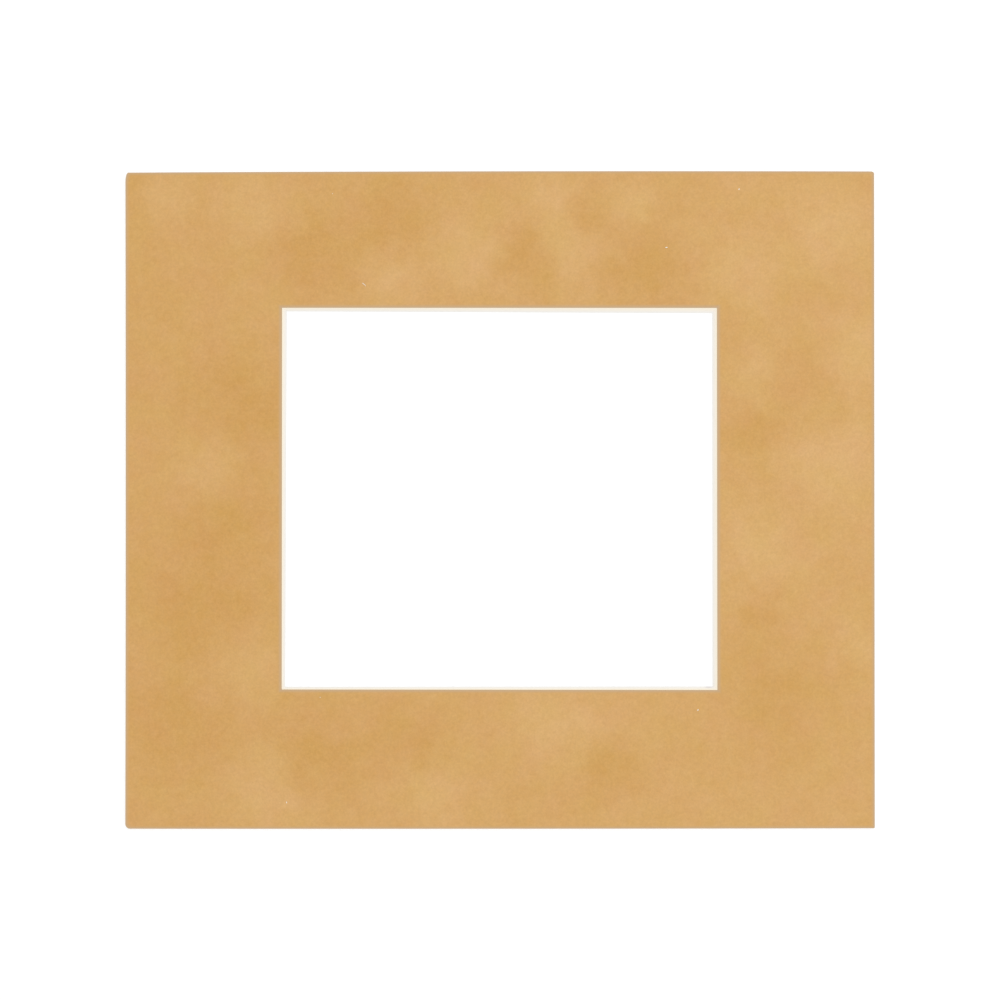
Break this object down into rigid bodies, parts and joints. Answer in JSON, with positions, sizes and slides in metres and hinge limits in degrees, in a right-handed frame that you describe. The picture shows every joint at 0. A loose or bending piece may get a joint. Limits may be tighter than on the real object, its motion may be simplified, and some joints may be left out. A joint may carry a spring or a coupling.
{
  "type": "picture mount",
  "caption": "Rectangular picture mount board with a suede-effect tan face and a bevelled rectangular window that shows the cream core.",
  "frame": {"origin": "middle of the sheet's outline, on its back face, which it lies on", "axes": "+X along the long side, to the right as the face is seen; +Y towards the top edge; +Z out of the suede-effect face"},
  "size_m": [0.3048, 0.2676, 0.0017],
  "materials": {
    "suede_paper": "matt, short suede-effect nap",
    "core_card": "matt, cut pulp card"
  },
  "bodies": {
    "root": {"core_board": "core_card", "suede_facing": "suede_paper"}
  },
  "joints": []
}
